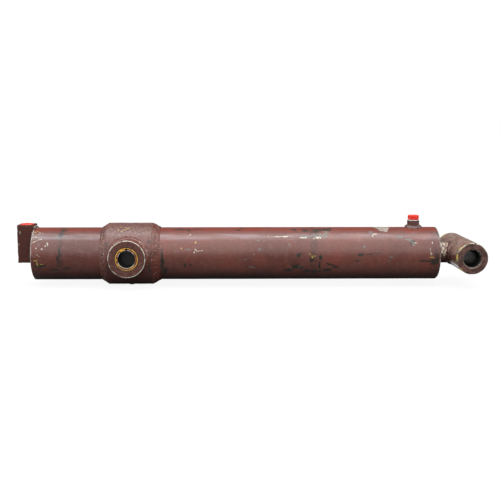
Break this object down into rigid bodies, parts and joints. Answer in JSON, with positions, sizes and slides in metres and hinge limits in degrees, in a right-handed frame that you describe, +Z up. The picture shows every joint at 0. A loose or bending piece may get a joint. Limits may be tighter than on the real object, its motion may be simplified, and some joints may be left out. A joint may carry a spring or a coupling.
{
  "type": "telescopic hydraulic cylinder",
  "caption": "Trunnion-mounted double-acting telescopic hydraulic cylinder, shown closed, with a cross-tube rod eye, bronze-bushed pivot sockets and plugged oil ports.",
  "frame": {"origin": "where the trunnion's pivot axis crosses the cylinder's axis", "axes": "+X along the cylinder towards the rod eye, +Y along the pivot axis, +Z up, the way both oil ports face"},
  "size_m": [1.143, 0.212, 0.173],
  "materials": {
    "paint": "worn satin red-oxide primer",
    "casting_paint": "worn red-oxide primer on rougher steel",
    "weld": "rippled weld bead under paint",
    "bronze": "dull, smeared with paint",
    "dry_bush": "dark, thin-walled",
    "machined": "turned, oily",
    "honed_tube": "honed bore",
    "hard_chrome": "polished",
    "screw": "black oxide",
    "seal": "matte black",
    "polyurethane": "satin blue",
    "guide_ring": "woven-fabric resin",
    "red_plastic": "moulded"
  },
  "bodies": {
    "barrel": {"barrel_tube": "paint", "base_cap": "machined", "base_cap_weld": "weld", "port_block": "paint", "port_block_weld": "weld", "trunnion_collar": "casting_paint", "trunnion_collar_welds": "weld", "trunnion_boss_front": "casting_paint", "trunnion_boss_rear": "casting_paint", "trunnion_boss_welds": "weld", "trunnion_bush_front": "bronze", "trunnion_bush_rear": "bronze", "bush_keeper_screws": "screw", "collar_set_screw": "screw", "gland_port_boss": "paint", "gland_port_weld": "weld", "barrel_gland": "machined", "barrel_gland_guide_ring": "guide_ring", "barrel_gland_seal": "polyurethane", "barrel_gland_wiper": "seal", "barrel_gland_o_ring": "seal"},
    "stage_piston_rings": {"stage_piston_seal": "polyurethane", "stage_piston_guide_rings": "guide_ring"},
    "stage": {"stage_outer_tube": "hard_chrome", "stage_liner_tube": "honed_tube", "stage_piston": "machined", "stage_gland": "machined", "stage_gland_guide_ring": "guide_ring", "stage_gland_seal": "polyurethane", "stage_gland_wiper": "seal", "stage_gland_o_ring": "seal", "stage_gland_spigot_o_ring": "seal"},
    "rod_piston_rings": {"rod_piston_seal": "polyurethane", "rod_piston_guide_rings": "guide_ring"},
    "rod": {"piston_rod": "hard_chrome", "rod_piston": "machined", "rod_piston_o_ring": "seal", "rod_piston_nut": "screw", "rod_neck": "paint", "rod_eye_tube": "paint", "rod_eye_weld": "weld", "rod_eye_bush_front": "dry_bush", "rod_eye_bush_rear": "dry_bush"},
    "gland_port_plug_body": {"gland_port_plug": "red_plastic"},
    "base_port_plug_body": {"base_port_plug": "red_plastic"}
  },
  "joints": [
    {"name": "stage_slide", "type": "slide", "parent": "barrel", "child": "stage_piston_rings", "axis": [1, 0, 0], "range_m": [0, 0.843]},
    {"name": "stage_turn", "type": "hinge", "parent": "stage_piston_rings", "child": "stage", "pos_m": [0, 0, 0], "axis": [1, 0, 0], "continuous": true},
    {"name": "rod_slide", "type": "slide", "parent": "stage", "child": "rod_piston_rings", "axis": [1, 0, 0], "range_m": [0, 0.815]},
    {"name": "rod_turn", "type": "hinge", "parent": "rod_piston_rings", "child": "rod", "pos_m": [0, 0, 0], "axis": [1, 0, 0], "continuous": true},
    {"name": "gland_port_plug_lift", "type": "slide", "parent": "barrel", "child": "gland_port_plug_body", "axis": [0, 0, 1], "range_m": [0, 0.03]},
    {"name": "base_port_plug_lift", "type": "slide", "parent": "barrel", "child": "base_port_plug_body", "axis": [0, 0, 1], "range_m": [0, 0.03]}
  ]
}
